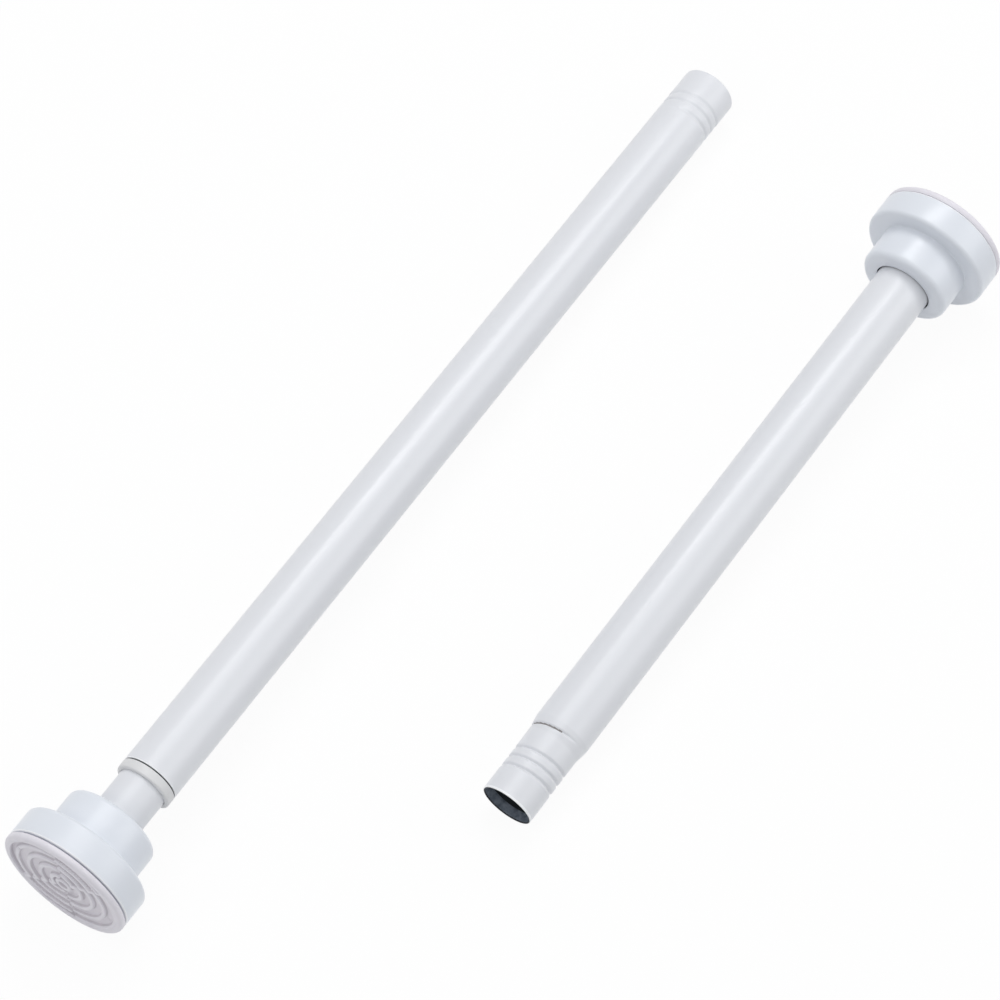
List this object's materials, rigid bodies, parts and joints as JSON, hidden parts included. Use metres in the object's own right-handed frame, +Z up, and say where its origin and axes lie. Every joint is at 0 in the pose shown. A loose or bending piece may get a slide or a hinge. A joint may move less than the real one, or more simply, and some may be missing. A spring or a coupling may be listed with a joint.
{
  "type": "extendable curtain rod",
  "caption": "White spring tension curtain rod, unscrewed into two halves, with a telescoping inner tube, a twist lock, stepped end caps and treaded rubber pads.",
  "frame": {"origin": "under the middle of the box round both halves, on the surface that they lie on", "axes": "+X along the long half from its cap to its open end, +Z up"},
  "size_m": [0.3584, 0.1422, 0.0439],
  "materials": {
    "tube_paint": "satin white",
    "cap_plastic": "soft gloss",
    "collar_plastic": "satin",
    "pad_rubber": "matt",
    "lock_plastic": "natural",
    "spring_steel": "bright"
  },
  "bodies": {
    "rod": {"outer_tube": "tube_paint", "guide_collar": "collar_plastic", "short_tube": "tube_paint", "right_cap": "cap_plastic", "right_pad": "pad_rubber"},
    "lock": {"lock_ring": "lock_plastic"},
    "spindle": {"lock_spindle": "lock_plastic", "spring_seat": "lock_plastic"},
    "plunger": {"inner_tube": "tube_paint", "end_guide": "lock_plastic", "spring_stop": "lock_plastic", "tension_spring": "spring_steel", "left_cap": "cap_plastic", "left_pad": "pad_rubber"}
  },
  "joints": [
    {"name": "extend_slide", "type": "slide", "parent": "rod", "child": "lock", "axis": [-0.9994, 0, 0.0353], "range_m": [0, 0.238]},
    {"name": "twist_lock", "type": "hinge", "parent": "lock", "child": "spindle", "pos_m": [0.13621, 0.04935, 0.011], "axis": [-0.9994, 0, 0.0353], "range_deg": [-24, 24]},
    {"name": "spring_plunge", "type": "slide", "parent": "spindle", "child": "plunger", "axis": [-0.9994, 0, 0.0353], "range_m": [-0.012, 0], "stiffness_N_per_m": 4000, "springref_m": 0.006, "deforming": ["tension_spring"]}
  ]
}
